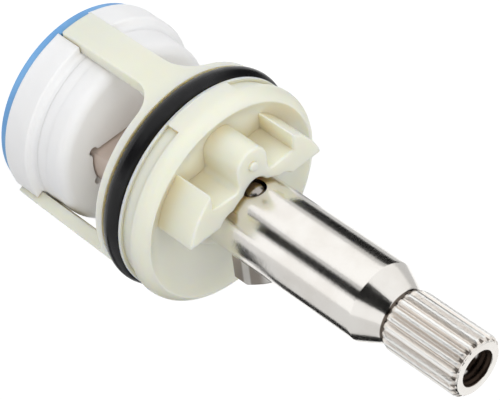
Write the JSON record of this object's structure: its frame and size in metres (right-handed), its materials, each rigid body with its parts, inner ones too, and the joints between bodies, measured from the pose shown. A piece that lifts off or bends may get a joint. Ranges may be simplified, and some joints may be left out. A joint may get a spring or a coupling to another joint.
{
  "type": "diverter cartridge",
  "caption": "Diverter cartridge: a caged ceramic disc valve with a keyed flange, turned by a splined spindle to send water to either outlet.",
  "frame": {"origin": "centre of the seal face that rests on the valve body", "axes": "+Z along the spindle towards its splined end, +X through the flange's key tab and the middle detent"},
  "size_m": [0.0298, 0.0298, 0.0672],
  "materials": {
    "cage_plastic": "moulded, slightly translucent cream acetal",
    "white_plastic": "moulded white acetal, satin",
    "blue_rubber": "light blue silicone, satin",
    "black_rubber": "black nitrile, slightly greased",
    "nickel": "bright nickel plate on brass",
    "hard_steel": "polished hardened steel",
    "spring_steel": "drawn stainless wire and sheet",
    "ceramic": null,
    "slide_plastic": "filled slide plastic"
  },
  "bodies": {
    "cage": {"housing": "cage_plastic", "flange_seal": "black_rubber", "glide_washer": "slide_plastic", "fixed_disc": "ceramic", "port_seal_inlet": "black_rubber", "port_seal_left": "black_rubber", "port_seal_right": "black_rubber", "base": "white_plastic", "base_seal": "blue_rubber", "support_ring": "spring_steel"},
    "rotor": {"spindle": "nickel", "drive_dog": "nickel", "stem_seal_upper": "black_rubber", "stem_seal_lower": "black_rubber", "detent_spring": "spring_steel", "driver": "white_plastic", "pressure_ring": "black_rubber", "moving_disc": "ceramic", "flow_silencer": "spring_steel"},
    "ball": {"detent_ball": "hard_steel"}
  },
  "joints": [
    {"name": "spindle_turn", "type": "hinge", "parent": "cage", "child": "rotor", "pos_m": [0, 0, 0.03], "axis": [0, 0, 1], "range_deg": [-60, 60]},
    {"name": "ball_press", "type": "slide", "parent": "rotor", "child": "ball", "axis": [1, 0, 0], "range_m": [-0.00045, 0], "stiffness_N_per_m": 40, "springref_m": 0.003, "deforming": ["detent_spring"]}
  ]
}
